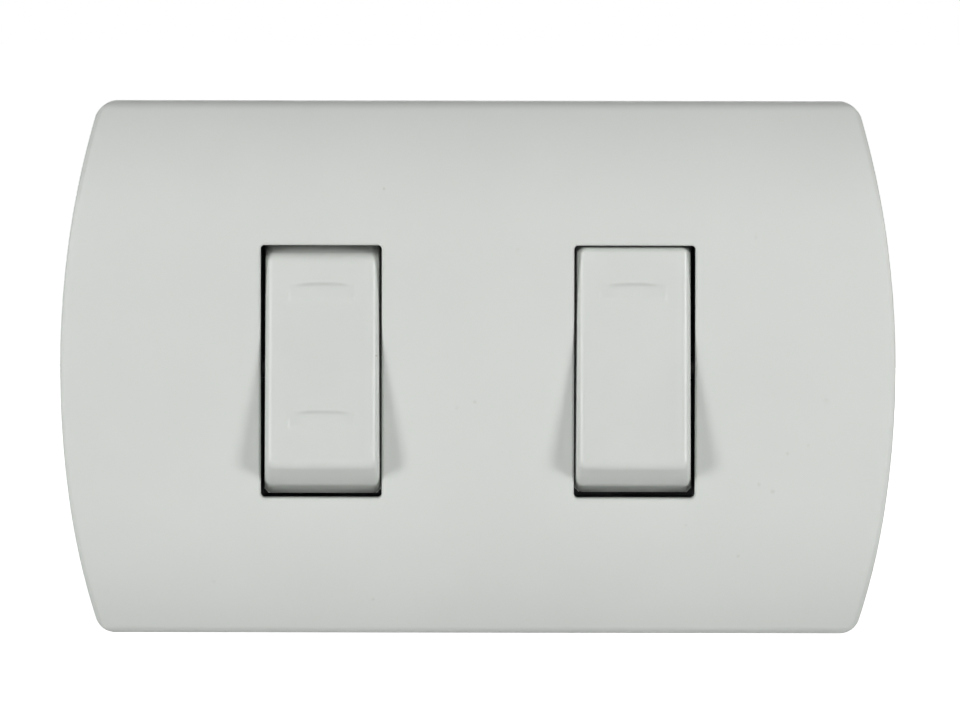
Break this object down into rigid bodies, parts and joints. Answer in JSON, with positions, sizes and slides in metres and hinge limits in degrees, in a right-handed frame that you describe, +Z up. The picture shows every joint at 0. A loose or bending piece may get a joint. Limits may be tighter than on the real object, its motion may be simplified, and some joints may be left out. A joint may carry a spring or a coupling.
{
  "type": "light switch",
  "caption": "Wall light switch with a bowed clip-on cover plate, a mounting frame and snap-in rocker modules whose sprung plungers tip see-saw contact blades.",
  "frame": {"origin": "centre of the wall plane, midway between the two box screws", "axes": "+X to the right as seen from the front, +Z up, +Y into the wall; the front looks along -Y"},
  "size_m": [0.12, 0.0359, 0.077],
  "materials": {
    "plate": "satin moulded, a little soiled",
    "rocker": "satin moulded, polished by fingers",
    "frame": "fine spark-eroded",
    "cradle": "satin moulded",
    "base": "matt moulded",
    "plunger": "plain moulded",
    "spring": "drawn wire",
    "brass": "stamped strip",
    "silver": "bright silver alloy",
    "box_screw": "zinc plated",
    "terminal_screw": "zinc plated",
    "clamp": "zinc plated strip"
  },
  "bodies": {
    "housing": {"cover_plate": "plate", "mounting_frame": "frame", "box_screws": "box_screw", "left_cradle": "cradle", "left_base": "base", "left_fixed_contacts": "silver", "left_common_terminal": "brass", "left_lower_terminal": "brass", "left_terminal_screws": "terminal_screw", "left_wire_clamps": "clamp", "right_cradle": "cradle", "right_base": "base", "right_fixed_contacts": "silver", "right_common_terminal": "brass", "right_lower_terminal": "brass", "right_terminal_screws": "terminal_screw", "right_wire_clamps": "clamp", "left_upper_terminal": "brass"},
    "left_rocker": {"left_rocker": "rocker", "left_spring": "spring"},
    "left_plunger": {"left_plunger": "plunger"},
    "left_blade": {"left_blade": "brass", "left_blade_contacts": "silver"},
    "right_rocker": {"right_rocker": "rocker", "right_spring": "spring"},
    "right_plunger": {"right_plunger": "plunger"},
    "right_blade": {"right_blade": "brass", "right_blade_contacts": "silver"}
  },
  "joints": [
    {"name": "left_rocker_hinge", "type": "hinge", "parent": "housing", "child": "left_rocker", "pos_m": [-0.02235, -0.0015, 0], "axis": [1, 0, 0], "range_deg": [0, 18]},
    {"name": "left_plunger_slide", "type": "slide", "parent": "left_rocker", "child": "left_plunger", "axis": [0, -0.9877, 0.1564], "range_m": [0, 0.0008], "stiffness_N_per_m": 1000, "springref_m": -0.001, "deforming": ["left_spring"]},
    {"name": "left_blade_hinge", "type": "hinge", "parent": "housing", "child": "left_blade", "pos_m": [-0.02235, 0.0054, 0], "axis": [1, 0, 0], "range_deg": [-18, 0]},
    {"name": "right_rocker_hinge", "type": "hinge", "parent": "housing", "child": "right_rocker", "pos_m": [0.02235, -0.0015, 0], "axis": [1, 0, 0], "range_deg": [0, 18]},
    {"name": "right_plunger_slide", "type": "slide", "parent": "right_rocker", "child": "right_plunger", "axis": [0, -0.9877, 0.1564], "range_m": [0, 0.0008], "stiffness_N_per_m": 1000, "springref_m": -0.001, "deforming": ["right_spring"]},
    {"name": "right_blade_hinge", "type": "hinge", "parent": "housing", "child": "right_blade", "pos_m": [0.02235, 0.0054, 0], "axis": [1, 0, 0], "range_deg": [-18, 0]}
  ],
  "couplings": [
    {"joint": "left_blade_hinge", "follows": "left_rocker_hinge", "ratio": -1},
    {"joint": "right_blade_hinge", "follows": "right_rocker_hinge", "ratio": -1}
  ]
}
